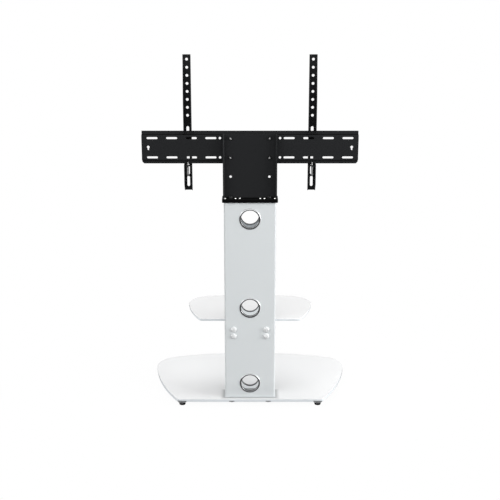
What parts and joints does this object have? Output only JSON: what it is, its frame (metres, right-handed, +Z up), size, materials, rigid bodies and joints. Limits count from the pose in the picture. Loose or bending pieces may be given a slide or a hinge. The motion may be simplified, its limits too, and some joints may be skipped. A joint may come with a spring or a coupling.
{
  "type": "tv stand with mount",
  "caption": "Pedestal floor stand for a flat screen: glass base, steel column with cable holes, glass shelf, and a neck with a slotted rail and sliding hook-on arms.",
  "frame": {"origin": "on the floor under the middle of the base", "axes": "+Z up; the screen side faces -Y and the rear with the cable holes faces +Y; +X to the right seen from the screen side"},
  "size_m": [0.712, 0.425, 1.212],
  "materials": {
    "base_glass": "white back-painted toughened glass, polished",
    "shelf_glass": "white back-painted toughened glass, polished",
    "foot_metal": "turned, satin",
    "rubber": "matte",
    "gasket": "matte grey foam rubber",
    "white_steel": "light silver-white powder coat, satin",
    "zinc": "zinc plated",
    "black_bolt": "black oxide",
    "white_plastic": "glossy",
    "black_plastic": "matte",
    "black_steel": "fine-textured black powder coat",
    "chrome": "bright plated"
  },
  "bodies": {
    "stand": {"base_glass": "base_glass", "foot_cups": "foot_metal", "foot_pads": "rubber", "base_gasket": "gasket", "column_shoe": "white_steel", "clamp_pad": "rubber", "clamp_plate": "zinc", "base_washers": "zinc", "base_bolts": "black_bolt", "column_foot_block": "zinc", "column_channel": "white_steel", "column_cover": "white_steel", "column_top_block": "zinc", "rear_upper_grommet": "chrome", "rear_middle_grommet": "chrome", "rear_lower_grommet": "chrome", "front_upper_grommet": "chrome", "front_middle_grommet": "chrome", "front_lower_grommet": "chrome", "shelf_glass": "shelf_glass", "shelf_bracket": "white_steel", "shelf_discs": "zinc", "shelf_screws": "zinc", "shelf_bolts": "zinc", "shelf_spacers": "zinc", "shelf_nuts": "zinc", "bolt_caps": "white_plastic", "column_cap": "black_plastic", "neck_plate": "black_steel", "neck_bolts": "black_bolt", "neck_washers": "black_bolt", "neck_screws": "zinc", "rail_plate": "black_steel", "rail_bolts": "zinc", "rail_washers": "black_bolt", "rail_nuts": "black_bolt"},
    "left_arm": {"left_arm": "black_steel", "left_lock_tab": "black_steel"},
    "right_arm": {"right_arm": "black_steel", "right_lock_tab": "black_steel"},
    "left_lock_screw": {"left_lock_screw": "zinc"},
    "right_lock_screw": {"right_lock_screw": "zinc"}
  },
  "joints": [
    {"name": "left_arm_slide", "type": "slide", "parent": "stand", "child": "left_arm", "axis": [-1, 0, 0], "range_m": [-0.155, 0.13]},
    {"name": "right_arm_slide", "type": "slide", "parent": "stand", "child": "right_arm", "axis": [1, 0, 0], "range_m": [-0.155, 0.13]},
    {"name": "left_lock_travel", "type": "slide", "parent": "left_arm", "child": "left_lock_screw", "axis": [0, 0, 1], "range_m": [-0.012, 0]},
    {"name": "right_lock_travel", "type": "slide", "parent": "right_arm", "child": "right_lock_screw", "axis": [0, 0, 1], "range_m": [-0.012, 0]}
  ]
}
